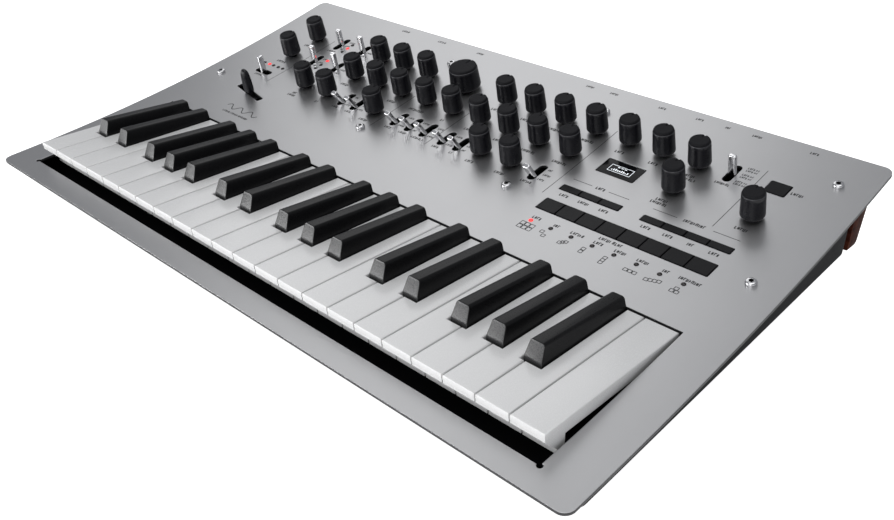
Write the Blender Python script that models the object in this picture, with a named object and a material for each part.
"""Desktop analogue synthesizer: 37 slim keys under a curved aluminium control panel.

Everything is in metres, +Z up, with the origin on the floor under the middle of the object.
X runs along the keyboard from low notes to high notes, Y from the player to the rear.
A place on the panel is given as (x, s): s is the distance along the panel's surface from its
front edge, and "lift" is the height above that surface, along its normal.
"""

from math import cos, pi, radians, sin, sqrt, tan

import bmesh
import bpy
from mathutils import Matrix, Vector

MM = 0.001
GAP = 0.3 * MM                       # between pieces that touch

# Overall
WIDTH = 500 * MM
DEPTH = 300 * MM
FRONT_Y = -DEPTH / 2                 # the panel's front edge
FRONT_Z = 26 * MM                    # height of the panel's top surface at that edge

# Panel sheet: a short straight front, then one arc up to the rear edge
PANEL_THICKNESS = 2 * MM
PANEL_TILT = radians(4.95)
PANEL_STRAIGHT = 21.3 * MM
PANEL_RADIUS = 1593 * MM
PANEL_LENGTH = 304.3 * MM            # along the surface
PANEL_CORNER = 6 * MM
PANEL_STRIP = 16 * MM                # spacing of the bend lines

# Keyboard
KEY_PITCH = 20.33 * MM
KEY_GAP = 0.9 * MM
KEYS_LEFT = -224.8 * MM
KEY_TOP = 14.2 * MM                  # heights here are above the panel's front edge
KEY_REAR_DROP = 0.6 * MM
KEY_BODY_BOTTOM = 6 * MM
KEY_FRONT_Y = 19.9 * MM              # distances here are from the panel's front edge
KEY_SHOULDER_Y = 55 * MM
KEY_REAR_Y = 125 * MM
BLACK_WIDTH = 11.4 * MM
BLACK_TOP_WIDTH = 8 * MM
BLACK_SLOT = 13 * MM
BLACK_FRONT_Y = 56.7 * MM
BLACK_TOP_FRONT_Y = 60.5 * MM
BLACK_TOP_FRONT = 24 * MM
BLACK_TOP_REAR = 20 * MM
BLACK_BOTTOM = 8 * MM
PIVOT_Y = 139 * MM
TANG_HALF = 2.6 * MM
OCTAVES = 3
WHITE_IN_OCTAVE = 7
# offset of each black key's middle from the joint between its two white keys
BLACK_OFFSETS = {1: -2.7 * MM, 2: 2.7 * MM, 4: -3.4 * MM, 5: 0.0, 6: 3.4 * MM}
KEYBED_HALF = 219 * MM
KEYBED_TOP = -13.6 * MM
KEYBED_RAILS = [
    # front, rear, top
    (39 * MM, 44 * MM, -6 * MM),
    (136.5 * MM, 142 * MM, -2.6 * MM),
    (149.5 * MM, 153 * MM, 6 * MM),
]
OPENING_X = (-225.9 * MM, 223.8 * MM)
OPENING_S = (15.1 * MM, 126.6 * MM)

# Control grid
COLUMN_0 = -200.8 * MM
COLUMN_PITCH = 25.4 * MM
ROWS = {"front": 198.5 * MM, "middle": 227 * MM, "rear": 255.5 * MM}
KNOB_BASE_R = 7.25 * MM
KNOB_TOP_R = 6.7 * MM
KNOB_HEIGHT = 17.4 * MM
BIG_KNOB_SCALE_R = 1.55
BIG_KNOB_HEIGHT = 17 * MM
KNOB_LIFT = 1.2 * MM
SHAFT_R = 3 * MM
SHAFT_HOLE_R = 3.9 * MM
SHAFT_BOTTOM = -9.5 * MM
KNOB_SIDES = 16

KNOBS = [
    # name, column, row
    ("master_knob", 0, "middle"),
    ("tempo_knob", 0, "rear"),
    ("cross_mod_depth_knob", 2, "front"),
    ("pitch_eg_knob", 3, "front"),
    ("vco_2_pitch_knob", 3, "middle"),
    ("vco_1_pitch_knob", 3, "rear"),
    ("vco_2_shape_knob", 4, "middle"),
    ("vco_1_shape_knob", 4, "rear"),
    ("noise_level_knob", 5, "front"),
    ("vco_2_level_knob", 5, "middle"),
    ("vco_1_level_knob", 5, "rear"),
    ("resonance_knob", 6, "middle"),
    ("cutoff_knob", 6.45, "rear"),
    ("cutoff_eg_knob", 7, "middle"),
    ("eg_attack_knob", 8, "middle"),
    ("amp_attack_knob", 8, "rear"),
    ("lfo_rate_knob", 9, "front"),
    ("eg_decay_knob", 9, "middle"),
    ("amp_decay_knob", 9, "rear"),
    ("lfo_depth_knob", 10, "front"),
    ("eg_sustain_knob", 10, "middle"),
    ("amp_sustain_knob", 10, "rear"),
    ("eg_release_knob", 11, "middle"),
    ("amp_release_knob", 11, "rear"),
    ("high_pass_knob", 12, "rear"),
    ("delay_time_knob", 12.97, "rear"),
    ("delay_feedback_knob", 13.95, "rear"),
    ("value_encoder_knob", 13.95, "middle"),
    ("voice_depth_knob", 15.95, "middle"),
]

# Toggle levers: name, x, s of the slot's middle, lean of the lever towards the front
TOGGLE_UPRIGHT = 0.0
TOGGLE_FORWARD = radians(28)
TOGGLES = [
    ("octave_lever", COLUMN_0, 196.5 * MM, TOGGLE_UPRIGHT),
    ("vco_1_octave_lever", COLUMN_0 + COLUMN_PITCH, 258 * MM, TOGGLE_UPRIGHT),
    ("vco_2_octave_lever", COLUMN_0 + COLUMN_PITCH, 229 * MM, TOGGLE_UPRIGHT),
    ("vco_1_wave_lever", COLUMN_0 + 2 * COLUMN_PITCH, 258 * MM, TOGGLE_UPRIGHT),
    ("vco_2_wave_lever", COLUMN_0 + 2 * COLUMN_PITCH, 229 * MM, TOGGLE_UPRIGHT),
    ("sync_lever", -106.3 * MM, 200 * MM, TOGGLE_FORWARD),
    ("ring_lever", -92.3 * MM, 200 * MM, TOGGLE_FORWARD),
    ("filter_type_lever", -50.5 * MM, 200 * MM, TOGGLE_FORWARD),
    ("key_track_lever", -36.3 * MM, 200 * MM, TOGGLE_FORWARD),
    ("velocity_lever", -22.1 * MM, 200 * MM, TOGGLE_FORWARD),
    ("lfo_wave_lever", -3.9 * MM, 199 * MM, TOGGLE_FORWARD),
    ("lfo_eg_lever", 10.1 * MM, 199 * MM, TOGGLE_FORWARD),
    ("lfo_target_lever", 73.4 * MM, 199.5 * MM, TOGGLE_FORWARD),
    ("routing_lever", 174.0 * MM, 257.8 * MM, TOGGLE_UPRIGHT),
]
TOGGLE_SLOT_LENGTH = 17.5 * MM
TOGGLE_SLOT_WIDTH = 5.4 * MM
TOGGLE_PIVOT = -8 * MM               # lift of the lever's pivot
TOGGLE_TOP = 13.2 * MM               # lift of an upright lever's tip
TOGGLE_WIDTH = 4.8 * MM
TOGGLE_THICK = 3.2 * MM

# Pitch slider
SLIDER_X = -183 * MM
SLIDER_S = 168.7 * MM
SLIDER_ANGLE = radians(-11.6)
SLIDER_SLOT = (36 * MM, 5 * MM)
SLIDER_PADDLE = (9 * MM, 6 * MM, 19 * MM)

# Buttons and display
STEP_X0 = 95.3 * MM
STEP_PITCH = 14.42 * MM
STEP_S = (169.9 * MM, 181.7 * MM)
FUNCTION_S = (192.4 * MM, 198.3 * MM)
FUNCTION_COLUMNS = (0, 1, 2, 4, 5, 6, 7)
SHIFT_BOX = (196.5 * MM, 209.8 * MM, 251.7 * MM, 263.2 * MM)
DISPLAY_BOX = (102.3 * MM, 129.6 * MM, 219.9 * MM, 235.5 * MM)
CAP_GAP = 0.35 * MM
CAP_LIFT = 0.5 * MM
CARRIER_LIFT = (-4.4 * MM, -3.2 * MM)

# Control board
BOARD_LIFT = (-14 * MM, -12.4 * MM)
BOARD_X = 215 * MM
BOARD_S = (158 * MM, 269.5 * MM)
POT_SIZE = 10 * MM
POT_TOP = -4.6 * MM
BORE_R = SHAFT_R + GAP

# Bottom case, with heights above the panel's front edge
CASE_INSET = 7 * MM
CASE_WALL = 2.6 * MM
CASE_FLOOR = -19.5 * MM
CASE_FLOOR_INSET = 26 * MM
CASE_FRONT_TOP = 6 * MM
CASE_FRONT_MIDDLE = 16 * MM
CASE_FRONT_FLOOR = 24 * MM
CASE_REAR = 271.8 * MM
CASE_REAR_FLOOR = 258 * MM
BAND_EDGE = -16.5 * MM               # the side band's lower edge at the front
BAND_SLOPE = 0.0907
FOOT_R = 9 * MM
FOOT_X = 190 * MM
FOOT_Y = (50 * MM, 232 * MM)

# Wooden rear panel
WOOD_FRONT = 272.2 * MM
WOOD_BOTTOM = 6.8 * MM
WOOD_REAR_BOTTOM = 284.8 * MM
WOOD_REAR_TOP = 291.4 * MM
WOOD_CHAMFER = 3.2 * MM
SOCKET_PLATE = (263 * MM, 265 * MM)
SOCKET_PLATE_HALF = 228 * MM
SOCKET_FACE = 285.6 * MM
SOCKET_Z = 27 * MM
SOCKETS = [
    # x, outer radius, bore radius
    (205 * MM, 5.0 * MM, 2.2 * MM),
    (168 * MM, 5.6 * MM, 4.2 * MM),
    (128 * MM, 9.0 * MM, 7.6 * MM),
    (100 * MM, 9.0 * MM, 7.6 * MM),
    (62 * MM, 4.2 * MM, 1.8 * MM),
    (42 * MM, 4.2 * MM, 1.8 * MM),
    (-60 * MM, 6.5 * MM, 3.4 * MM),
    (-100 * MM, 6.5 * MM, 3.4 * MM),
    (-140 * MM, 6.5 * MM, 3.4 * MM),
]
SQUARE_SOCKETS = [
    # x, half width, half height: the power switch and the USB socket
    (218 * MM, 4 * MM, 5 * MM),
    (148 * MM, 6 * MM, 5.5 * MM),
]

COLOURS = {
    # name: colour, roughness, metallic
    "aluminium": ((0.52, 0.52, 0.53, 1), 0.35, 1.0),
    "black_case": ((0.02, 0.02, 0.022, 1), 0.5, 0.0),
    "wood": ((0.10, 0.035, 0.02, 1), 0.45, 0.0),
    "key_white": ((0.78, 0.78, 0.77, 1), 0.3, 0.0),
    "key_black": ((0.012, 0.012, 0.013, 1), 0.4, 0.0),
    "knob": ((0.03, 0.03, 0.034, 1), 0.55, 0.0),
    "chrome": ((0.8, 0.8, 0.8, 1), 0.12, 1.0),
    "button": ((0.025, 0.025, 0.027, 1), 0.5, 0.0),
    "board": ((0.02, 0.12, 0.06, 1), 0.5, 0.0),
}


# ---------------------------------------------------------------- places

def panel_angle(s):
    """Slope of the panel's surface at distance s from the front edge."""
    return PANEL_TILT + max(0.0, s - PANEL_STRAIGHT) / PANEL_RADIUS


def panel_point(x, s, lift=0.0):
    """World place of (x, s), raised by lift along the panel's normal."""
    straight = min(s, PANEL_STRAIGHT)
    y = straight * cos(PANEL_TILT)
    z = straight * sin(PANEL_TILT)
    angle = panel_angle(s)
    if s > PANEL_STRAIGHT:
        y += PANEL_RADIUS * (sin(angle) - sin(PANEL_TILT))
        z += PANEL_RADIUS * (cos(PANEL_TILT) - cos(angle))
    y -= lift * sin(angle)
    z += lift * cos(angle)
    return Vector((x, FRONT_Y + y, FRONT_Z + z))


def panel_frame(x, s, turn=0.0):
    """Matrix whose Z is the panel's normal at (x, s) and whose Y runs towards the rear."""
    frame = Matrix.Translation(panel_point(x, s)) @ Matrix.Rotation(panel_angle(s), 4, "X")
    return frame @ Matrix.Rotation(turn, 4, "Z")


def underside(y):
    """Height of the panel's lower face above the front edge, at distance y behind that edge."""
    start = Vector((PANEL_STRAIGHT * cos(PANEL_TILT), PANEL_STRAIGHT * sin(PANEL_TILT)))
    drop = PANEL_THICKNESS / cos(PANEL_TILT)
    centre_y = start.x - PANEL_RADIUS * sin(PANEL_TILT)
    centre_z = start.y + PANEL_RADIUS * cos(PANEL_TILT)
    if y < start.x:
        return y * tan(PANEL_TILT) - drop
    radius = PANEL_RADIUS + PANEL_THICKNESS
    return centre_z - sqrt(radius ** 2 - (y - centre_y) ** 2)


def world(x, y, z):
    """World place of a point given from the middle and from the panel's front edge."""
    return Vector((x, FRONT_Y + y, FRONT_Z + z))


# ---------------------------------------------------------------- building blocks

def material(name):
    found = bpy.data.materials.get(name)
    if found:
        return found
    colour, roughness, metallic = COLOURS[name]
    made = bpy.data.materials.new(name)
    made.use_nodes = True
    shader = made.node_tree.nodes["Principled BSDF"]
    shader.inputs["Base Color"].default_value = colour
    shader.inputs["Roughness"].default_value = roughness
    shader.inputs["Metallic"].default_value = metallic
    return made


def from_bmesh(name, bm):
    bmesh.ops.recalc_face_normals(bm, faces=bm.faces)
    mesh = bpy.data.meshes.new(name)
    bm.to_mesh(mesh)
    bm.free()
    obj = bpy.data.objects.new(name, mesh)
    bpy.context.scene.collection.objects.link(obj)
    return obj


def loft(name, loops):
    """Closed solid through loops that have the same number of points, capped at both ends."""
    bm = bmesh.new()
    rings = [[bm.verts.new(point) for point in loop] for loop in loops]
    for low, high in zip(rings, rings[1:]):
        for i in range(len(low)):
            j = (i + 1) % len(low)
            bm.faces.new((low[i], low[j], high[j], high[i]))
    bm.faces.new(rings[0])
    bm.faces.new(rings[-1])
    return from_bmesh(name, bm)


def block(low, high, name="block"):
    """Box between two corners."""
    def ring(z):
        return [(low[0], low[1], z), (high[0], low[1], z),
                (high[0], high[1], z), (low[0], high[1], z)]
    return loft(name, [ring(low[2]), ring(high[2])])


def side_prism(profile, x_low, x_high, name="prism"):
    """A (y, z) profile, measured from the panel's front edge, extruded along X."""
    return loft(name, [[world(x, y, z) for y, z in profile] for x in (x_low, x_high)])


def circle(radius, sides, x=0.0, y=0.0):
    angles = [2 * pi * (i + 0.5) / sides for i in range(sides)]
    return [(x + radius * cos(a), y + radius * sin(a)) for a in angles]


def rod(radius, low, high, sides=12, x=0.0, y=0.0, name="rod"):
    """Upright cylinder."""
    points = circle(radius, sides, x, y)
    return loft(name, [[(px, py, z) for px, py in points] for z in (low, high)])


def rounded_outline(x_low, x_high, y_low, y_high, radius, arc_steps=4, sides=(1, 1)):
    """Rectangle with round corners, its long sides divided into sides=(x parts, y parts)."""
    centres = [(x_high - radius, y_high - radius, 0), (x_low + radius, y_high - radius, 90),
               (x_low + radius, y_low + radius, 180), (x_high - radius, y_low + radius, 270)]
    points = []
    for index, (cx, cy, start) in enumerate(centres):
        for step in range(arc_steps + 1):
            angle = radians(start + 90 * step / arc_steps)
            points.append((cx + radius * cos(angle), cy + radius * sin(angle)))
        nx, ny, next_start = centres[(index + 1) % 4]
        angle = radians(next_start)
        target = (nx + radius * cos(angle), ny + radius * sin(angle))
        last = points[-1]
        parts = sides[index % 2]
        for part in range(1, parts):
            share = part / parts
            x = last[0] + (target[0] - last[0]) * share
            y = last[1] + (target[1] - last[1]) * share
            points.append((x, y))
    return points


def merged(objects, name):
    """One object holding several meshes side by side, for use as a cutter."""
    bm = bmesh.new()
    for obj in objects:
        part = obj.data.copy()
        part.transform(obj.matrix_world)
        bm.from_mesh(part)
        bpy.data.meshes.remove(part)
        bpy.data.objects.remove(obj)
    return from_bmesh(name, bm)


def combine(base, tools, operation):
    """Apply one exact Boolean for each tool to base, and remove the tools."""
    for tool in tools:
        modifier = base.modifiers.new("combine", "BOOLEAN")
        modifier.operation = operation
        modifier.solver = "EXACT"
        modifier.object = tool
    evaluated = base.evaluated_get(bpy.context.evaluated_depsgraph_get())
    mesh = bpy.data.meshes.new_from_object(evaluated)
    base.modifiers.clear()
    base.data = mesh
    for tool in tools:
        bpy.data.objects.remove(tool)
    return base


def union(parts):
    return combine(parts[0], parts[1:], "UNION")


def cut(base, tools):
    return combine(base, [merged(tools, "cutter")], "DIFFERENCE")


def finish(obj, name, colour, smooth_angle=30):
    obj.name = name
    obj.data.name = name
    obj.data.materials.clear()
    obj.data.materials.append(material(colour))
    obj.data.shade_smooth()
    obj.data.set_sharp_from_angle(angle=radians(smooth_angle))
    return obj


def bend_to_panel(obj, strip):
    """Split a flat (x, s, lift) solid across s, and map its vertices onto the panel's curve."""
    bm = bmesh.new()
    bm.from_mesh(obj.data)
    s = PANEL_STRAIGHT
    end = max(vert.co.y for vert in bm.verts)
    while s < end:
        geometry = bm.verts[:] + bm.edges[:] + bm.faces[:]
        bmesh.ops.bisect_plane(bm, geom=geometry, dist=1e-7, plane_co=(0, s, 0), plane_no=(0, 1, 0))
        s += strip
    bmesh.ops.triangulate(bm, faces=bm.faces)
    for vert in bm.verts:
        vert.co = panel_point(*vert.co)
    bm.to_mesh(obj.data)
    bm.free()
    return obj


# ---------------------------------------------------------------- static pieces

def slot_outline(x, s, length, width, angle=0.0, steps=6):
    """Stadium-shaped outline whose long way runs towards the rear, then turned by angle."""
    points = []
    for end, start in ((1, 0), (-1, pi)):
        for step in range(steps + 1):
            a = start + pi * step / steps
            px = width / 2 * cos(a)
            py = end * (length - width) / 2 + width / 2 * sin(a)
            points.append((x + px * cos(angle) - py * sin(angle), s + px * sin(angle) + py * cos(angle)))
    return points


def through(points):
    """Cutter that passes through the flat panel sheet."""
    return loft("through", [[(x, s, lift) for x, s in points] for lift in (-3 * MM, 3 * MM)])


def rectangle(x_low, x_high, s_low, s_high):
    return [(x_low, s_low), (x_high, s_low), (x_high, s_high), (x_low, s_high)]


def toggle_turn(name):
    """The octave lever's slot runs sideways, all the others run front to back."""
    return pi / 2 if name == "octave_lever" else 0.0


def knob_place(column, row):
    return COLUMN_0 + column * COLUMN_PITCH, ROWS[row]


def make_front_panel():
    outline = rounded_outline(-WIDTH / 2, WIDTH / 2, 0, PANEL_LENGTH, PANEL_CORNER)
    sheet = loft("front_panel", [[(x, s, lift) for x, s in outline] for lift in (-PANEL_THICKNESS, 0)])
    cutters = [through(rectangle(*OPENING_X, *OPENING_S))]
    for side in OPENING_X:
        cutters.append(through(circle(1.6 * MM, 8, side, OPENING_S[0])))
    for _, column, row in KNOBS:
        x, s = knob_place(column, row)
        cutters.append(through(circle(SHAFT_HOLE_R, 10, x, s)))
    for name, x, s, _ in TOGGLES:
        outline = slot_outline(x, s, TOGGLE_SLOT_LENGTH, TOGGLE_SLOT_WIDTH, toggle_turn(name))
        cutters.append(through(outline))
    length, width = SLIDER_SLOT
    cutters.append(through(slot_outline(SLIDER_X, SLIDER_S, length, width, pi / 2 + SLIDER_ANGLE)))
    last = STEP_X0 + 8 * STEP_PITCH
    cutters.append(through(rectangle(STEP_X0, last, *STEP_S)))
    cutters.append(through(rectangle(STEP_X0, STEP_X0 + 3 * STEP_PITCH, *FUNCTION_S)))
    cutters.append(through(rectangle(STEP_X0 + 4 * STEP_PITCH, last, *FUNCTION_S)))
    cutters.append(through(rectangle(*SHIFT_BOX)))
    cutters.append(through(rectangle(*DISPLAY_BOX)))
    # The opening and its two corner reliefs overlap, so they are cut one after another.
    opening, reliefs, rest = cutters[0], cutters[1:3], cutters[3:]
    combine(sheet, [opening], "DIFFERENCE")
    cut(sheet, reliefs)
    cut(sheet, rest)
    bend_to_panel(sheet, PANEL_STRIP)
    return finish(sheet, "front_panel", "aluminium", 20)


def case_loop(inset, front, rear, height):
    """One loop of the tray, its height a function of the distance y from the front edge."""
    half = WIDTH / 2 - inset
    outline = rounded_outline(-half, half, front, rear, 8 * MM, 3, (1, 12))
    return [world(x, y, height(y)) for x, y in outline]


def make_bottom_case():
    def under_panel(y):
        return underside(y) - GAP

    def band_edge(y):
        return BAND_EDGE + BAND_SLOPE * y

    def case_floor(y):
        return CASE_FLOOR

    wall = CASE_WALL
    outer = loft("bottom_case", [
        case_loop(CASE_FLOOR_INSET, CASE_FRONT_FLOOR, CASE_REAR_FLOOR, case_floor),
        case_loop(CASE_INSET, CASE_FRONT_MIDDLE, CASE_REAR, band_edge),
        case_loop(CASE_INSET, CASE_FRONT_TOP, CASE_REAR, under_panel),
        case_loop(CASE_INSET + wall, CASE_FRONT_TOP + wall, CASE_REAR - wall, under_panel),
        case_loop(CASE_INSET + wall, CASE_FRONT_MIDDLE + wall, CASE_REAR - wall,
                  lambda y: band_edge(y) + wall),
        case_loop(CASE_FLOOR_INSET + wall, CASE_FRONT_FLOOR + wall, CASE_REAR_FLOOR - wall,
                  lambda y: CASE_FLOOR + wall)])
    # The rear wall stays low, so that the sockets reach the wooden panel.
    window = block(world(-SOCKET_PLATE_HALF, CASE_REAR - 12 * MM, 10.5 * MM),
                   world(SOCKET_PLATE_HALF, CASE_REAR + 5 * MM, 70 * MM))
    combine(outer, [window], "DIFFERENCE")
    feet = []
    for x in (-FOOT_X, FOOT_X):
        for y in FOOT_Y:
            feet.append(rod(FOOT_R, 0, FRONT_Z + CASE_FLOOR + 1 * MM, 16, x, FRONT_Y + y))
    union([outer] + feet)
    return finish(outer, "bottom_case", "black_case", 35)


def sockets_of(margin, front, rear, which):
    """Cylinders from front to rear: which picks the outer radius (1) or the bore (2)."""
    made = []
    for socket in SOCKETS:
        tube = rod(socket[which] + margin, front, rear, 14)
        tube.data.transform(Matrix.Rotation(-pi / 2, 4, "X"))
        tube.data.transform(Matrix.Translation(world(socket[0], 0, SOCKET_Z)))
        made.append(tube)
    return made


def socket_block(x, half_x, half_z, front, rear):
    """Box at the sockets' height, from front to rear."""
    return block(world(x - half_x, front, SOCKET_Z - half_z), world(x + half_x, rear, SOCKET_Z + half_z))


def make_wood_rear_panel():
    top_front = underside(WOOD_FRONT) - GAP
    top_rear = underside(WOOD_REAR_TOP) - GAP
    profile = [(WOOD_FRONT, WOOD_BOTTOM), (WOOD_REAR_BOTTOM - WOOD_CHAMFER, WOOD_BOTTOM),
               (WOOD_REAR_BOTTOM, WOOD_BOTTOM + WOOD_CHAMFER), (WOOD_REAR_TOP, top_rear),
               (WOOD_FRONT, top_front)]
    half = WIDTH / 2 - CASE_INSET
    plank = side_prism(profile, -half, half)
    holes = sockets_of(GAP, 260 * MM, 300 * MM, 1)
    for x, half_x, half_z in SQUARE_SOCKETS:
        holes.append(socket_block(x, half_x + GAP, half_z + GAP, 260 * MM, 300 * MM))
    cut(plank, holes)
    return finish(plank, "wood_rear_panel", "wood")


def make_keybed_frame():
    """Plate on the case's floor, with a front stop rail, the keys' pivot ridge and a rear rail."""
    rails = []
    for y_low, y_high, top in KEYBED_RAILS:
        rails.append(block(world(-KEYBED_HALF, y_low, KEYBED_TOP - 0.5 * MM),
                           world(KEYBED_HALF, y_high, top)))
    plate = block(world(-KEYBED_HALF, 28.5 * MM, KEYBED_TOP - 2.7 * MM),
                  world(KEYBED_HALF, 153 * MM, KEYBED_TOP))
    return finish(union([plate] + rails), "keybed_frame", "black_case")


def make_control_board():
    """Board, pots, switches, display and the rear socket plate, all soldered into one unit."""
    low, high = BOARD_LIFT
    board = block((-BOARD_X, BOARD_S[0], low), (BOARD_X, BOARD_S[1], high))
    bodies = []
    half = POT_SIZE / 2
    for _, column, row in KNOBS:
        x, s = knob_place(column, row)
        bodies.append(block((x - half, s - half, low + 0.5 * MM), (x + half, s + half, POT_TOP)))
    for name, x, s, _ in TOGGLES:
        wide, long = (6 * MM, 3.5 * MM) if toggle_turn(name) else (3.5 * MM, 6 * MM)
        bodies.append(block((x - wide, s - long, low + 0.5 * MM), (x + wide, s + long, -10.9 * MM)))
    for index in range(8):
        x = STEP_X0 + (index + 0.5) * STEP_PITCH
        bodies.append(block((x - 3 * MM, 173 * MM, low + 0.5 * MM), (x + 3 * MM, 179 * MM, -6.2 * MM)))
    bodies.append(block((DISPLAY_BOX[0] - 2 * MM, DISPLAY_BOX[2] - 2 * MM, low + 0.5 * MM),
                        (DISPLAY_BOX[1] + 2 * MM, DISPLAY_BOX[3] + 2 * MM, -PANEL_THICKNESS - GAP)))
    combine(board, [merged(bodies, "bodies")], "UNION")
    bores = []
    for _, column, row in KNOBS:
        x, s = knob_place(column, row)
        bores.append(rod(BORE_R, SHAFT_BOTTOM - GAP, 0, 10, x, s))
    slider_bay = block((SLIDER_X - 26 * MM, BOARD_S[0] - 5 * MM, -20 * MM), (SLIDER_X + 26 * MM, 180 * MM, 0))
    cut(board, bores + [slider_bay])
    bend_to_panel(board, 4 * PANEL_STRIP)
    plate = block(world(-SOCKET_PLATE_HALF, SOCKET_PLATE[0], 12 * MM),
                  world(SOCKET_PLATE_HALF, SOCKET_PLATE[1], 37 * MM))
    sockets = sockets_of(0, SOCKET_PLATE[0] + 1 * MM, SOCKET_FACE, 1)
    for x, half_x, half_z in SQUARE_SOCKETS:
        sockets.append(socket_block(x, half_x, half_z, SOCKET_PLATE[0] + 1 * MM, SOCKET_FACE))
    combine(board, [plate, merged(sockets, "sockets")], "UNION")
    cut(board, sockets_of(0, 275 * MM, 290 * MM, 2))
    return finish(board, "control_board", "board")


# ---------------------------------------------------------------- keys

def white_span(index):
    """Left and right edge of a white key's front part."""
    left = KEYS_LEFT + index * KEY_PITCH
    return left + KEY_GAP / 2, left + KEY_PITCH - KEY_GAP / 2


def black_centre(index):
    """Middle of the black key at the joint before white key index, or None where there is none."""
    offset = BLACK_OFFSETS.get(index % WHITE_IN_OCTAVE)
    if offset is None or index > OCTAVES * WHITE_IN_OCTAVE:
        return None
    return KEYS_LEFT + index * KEY_PITCH + offset


def key_tang(x, rear, low, high):
    """Tongue that joins a key to its comb's bar, under the panel."""
    return block(world(x - TANG_HALF, KEY_REAR_Y - 8 * MM, low), world(x + TANG_HALF, rear, high), "tang")


def white_key(index, tang_y, tang_low, tang_high):
    """A white key with its rear part cut in beside the black keys, and a tang under the panel."""
    left, right = white_span(index)
    front = [(KEY_FRONT_Y, KEY_TOP), (KEY_FRONT_Y, 9 * MM), (29.4 * MM, 0), (29.4 * MM, -3 * MM),
             (34.7 * MM, -3 * MM), (34.7 * MM, KEY_BODY_BOTTOM), (KEY_SHOULDER_Y, KEY_BODY_BOTTOM),
             (KEY_SHOULDER_Y, KEY_TOP)]
    head = side_prism(front, left, right)
    rear_left, rear_right = left, right
    before, after = black_centre(index), black_centre(index + 1)
    if before is not None:
        rear_left = before + BLACK_SLOT / 2
    if after is not None:
        rear_right = after - BLACK_SLOT / 2
    overlap = KEY_SHOULDER_Y - 6 * MM
    rear = [(overlap, KEY_TOP - 0.01 * MM), (overlap, KEY_BODY_BOTTOM + 0.5 * MM),
            (KEY_REAR_Y, KEY_BODY_BOTTOM + 0.5 * MM), (KEY_REAR_Y, KEY_TOP - KEY_REAR_DROP)]
    body = side_prism(rear, rear_left, rear_right)
    middle = (rear_left + rear_right) / 2
    return [head, body, key_tang(middle, tang_y, tang_low, tang_high)]


def black_key(index, tang_y, tang_low, tang_high):
    """A tapered black key with a sloping front face."""
    x = black_centre(index)
    wide, narrow = BLACK_WIDTH / 2, BLACK_TOP_WIDTH / 2

    def ring(half, front, z_front, rear, z_rear):
        return [world(x - half, front, z_front), world(x + half, front, z_front),
                world(x + half, rear, z_rear), world(x - half, rear, z_rear)]

    rear = KEY_REAR_Y + 0.2 * MM
    body = loft("black", [ring(wide, BLACK_FRONT_Y, BLACK_BOTTOM, rear, BLACK_BOTTOM),
                          ring(wide, BLACK_FRONT_Y, KEY_TOP + 1 * MM, rear, KEY_TOP + 1 * MM),
                          ring(narrow + 0.4 * MM, BLACK_TOP_FRONT_Y - 1 * MM, BLACK_TOP_FRONT - 1 * MM,
                               rear, BLACK_TOP_REAR - 0.6 * MM),
                          ring(narrow, BLACK_TOP_FRONT_Y, BLACK_TOP_FRONT, rear, BLACK_TOP_REAR)])
    return [body, key_tang(x, tang_y, tang_low, tang_high)]


def key_comb(name, whites, blacks, bar_y, bar_low, tang, colour):
    """Keys of one octave moulded on one rear bar, which is how a slim keyboard is made."""
    bar_rear = bar_y + 3.5 * MM
    parts = []
    for index in whites:
        parts += white_key(index, bar_rear, *tang)
    for index in blacks:
        parts += black_key(index, bar_rear, *tang)
    tangs = [part for part in parts if part.name.startswith("tang")]
    left = min(vert.co.x for part in tangs for vert in part.data.vertices)
    right = max(vert.co.x for part in tangs for vert in part.data.vertices)
    bar = block(world(left, bar_y, bar_low), world(right, bar_rear, tang[0] + 0.5 * MM))
    comb = union([bar] + parts)
    pivot = world(0, PIVOT_Y, 2 * MM)
    comb.data.transform(Matrix.Translation(-pivot))
    comb.location = pivot
    return finish(comb, name, colour)


def make_keys():
    for octave in range(OCTAVES):
        first = octave * WHITE_IN_OCTAVE
        number = octave + 1
        key_comb("white_keys_ceg_b_%d" % number, [first + k for k in (0, 2, 4, 6)], [],
                 129.5 * MM, -2 * MM, (2 * MM, 7.5 * MM), "key_white")
        dfa = [first + k for k in (1, 3, 5)]
        if octave == OCTAVES - 1:
            dfa.append(OCTAVES * WHITE_IN_OCTAVE)
        key_comb("white_keys_dfa_%d" % number, dfa, [], 137 * MM, -2 * MM, (4.3 * MM, 8.7 * MM), "key_white")
        blacks = [first + k for k in BLACK_OFFSETS]
        key_comb("black_keys_%d" % number, [], blacks, 144 * MM, 0, (6.6 * MM, 11 * MM), "key_black")


# ---------------------------------------------------------------- controls

def turned(profile, sides, name):
    """Solid of revolution about local Z through (radius, height) points, bottom to top."""
    return loft(name, [[(x, y, z) for x, y in circle(r, sides)] for r, z in profile])


def make_knobs():
    for name, column, row in KNOBS:
        scale = BIG_KNOB_SCALE_R if name == "cutoff_knob" else 1.0
        height = BIG_KNOB_HEIGHT if name == "cutoff_knob" else KNOB_HEIGHT
        base, top = KNOB_BASE_R * scale, KNOB_TOP_R * scale
        cap_low, cap_high = KNOB_LIFT, KNOB_LIFT + height
        profile = [(SHAFT_R, SHAFT_BOTTOM), (SHAFT_R, cap_low), (base, cap_low),
                   (top, cap_high - 0.9 * MM), (top - 0.9 * MM, cap_high)]
        knob = turned(profile, KNOB_SIDES, name)
        knob.matrix_world = panel_frame(*knob_place(column, row))
        finish(knob, name, "knob")


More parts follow.
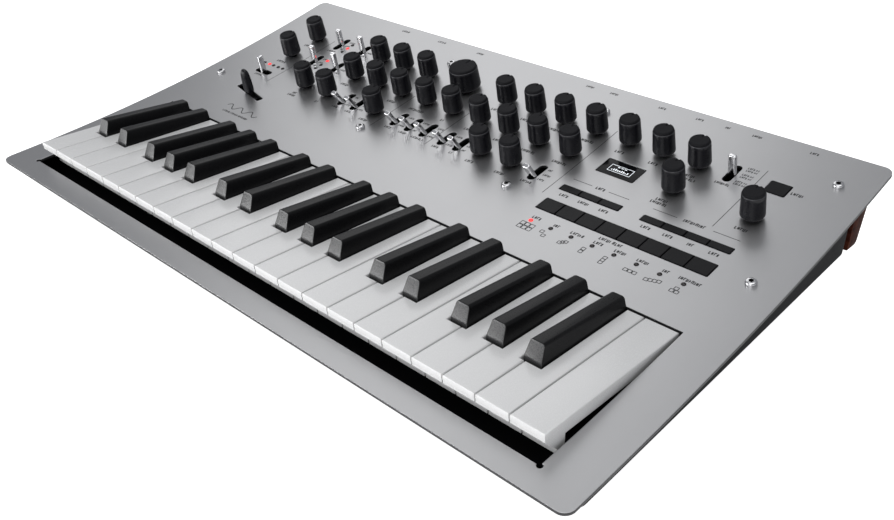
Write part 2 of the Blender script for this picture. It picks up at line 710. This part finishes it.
def make_toggles():
    for name, x, s, lean in TOGGLES:
        top = TOGGLE_TOP - TOGGLE_PIVOT
        half_x, half_y = TOGGLE_WIDTH / 2, TOGGLE_THICK / 2
        round_r = 1.2 * MM

        def ring(shrink, z):
            outline = rounded_outline(-half_x + shrink, half_x - shrink, -half_y + shrink, half_y - shrink,
                                      round_r - shrink, 2)
            return [(px, py, z) for px, py in outline]

        lever = loft(name, [ring(0, -2 * MM), ring(0, top - 0.8 * MM), ring(0.8 * MM, top)])
        frame = panel_frame(x, s, toggle_turn(name))
        lever.matrix_world = frame @ Matrix.Translation((0, 0, TOGGLE_PIVOT)) @ Matrix.Rotation(lean, 4, "X")
        finish(lever, name, "chrome")


def make_slider():
    wide, thick, tall = SLIDER_PADDLE

    def ring(half_x, half_y, z):
        return [(px, py, z) for px, py in rounded_outline(-half_x, half_x, -half_y, half_y, 1.2 * MM, 2)]

    paddle = loft("paddle", [ring(wide / 2 - 1 * MM, thick / 2 - 0.4 * MM, 0.5 * MM),
                             ring(wide / 2, thick / 2, 2.5 * MM), ring(wide / 2, thick / 2, tall - 2 * MM),
                             ring(wide / 2 - 1.6 * MM, thick / 2 - 0.8 * MM, tall)])
    stem = block((-2.5 * MM, -1.6 * MM, -4 * MM), (2.5 * MM, 1.6 * MM, 2 * MM))
    carriage = block((-7 * MM, -4.5 * MM, -6 * MM), (7 * MM, 4.5 * MM, -3 * MM))
    slider = union([carriage, stem, paddle])
    slider.matrix_world = panel_frame(SLIDER_X, SLIDER_S, SLIDER_ANGLE)
    finish(slider, "pitch_slider", "knob")


def cap(box, low):
    x_low, x_high, s_low, s_high = box
    return block((x_low + CAP_GAP, s_low + CAP_GAP, low), (x_high - CAP_GAP, s_high - CAP_GAP, CAP_LIFT))


def make_buttons():
    """Button caps on a moulded carrier that flexes down onto the switches of the board."""
    low, high = CARRIER_LIFT
    last = STEP_X0 + 8 * STEP_PITCH
    carrier = block((STEP_X0 - 1 * MM, STEP_S[0] - 1 * MM, low),
                    (last + 1 * MM, FUNCTION_S[1] + 1 * MM, high))
    boxes = []
    for index in range(8):
        boxes.append((STEP_X0 + index * STEP_PITCH, STEP_X0 + (index + 1) * STEP_PITCH, *STEP_S))
    for index in FUNCTION_COLUMNS:
        boxes.append((STEP_X0 + index * STEP_PITCH, STEP_X0 + (index + 1) * STEP_PITCH, *FUNCTION_S))
    caps = merged([cap(box, low + 0.3 * MM) for box in boxes], "caps")
    strip = combine(carrier, [caps], "UNION")
    finish(bend_to_panel(strip, PANEL_STRIP), "button_strip", "button")
    x_low, x_high, s_low, s_high = SHIFT_BOX
    flange = block((x_low - 1 * MM, s_low - 1 * MM, low), (x_high + 1 * MM, s_high + 1 * MM, high))
    shift = union([flange, cap(SHIFT_BOX, low + 0.3 * MM)])
    finish(bend_to_panel(shift, PANEL_STRIP), "shift_button", "button")


def main():
    for obj in list(bpy.data.objects):
        bpy.data.objects.remove(obj)
    make_front_panel()
    make_bottom_case()
    make_wood_rear_panel()
    make_keybed_frame()
    make_control_board()
    make_keys()
    make_knobs()
    make_toggles()
    make_slider()
    make_buttons()


main()
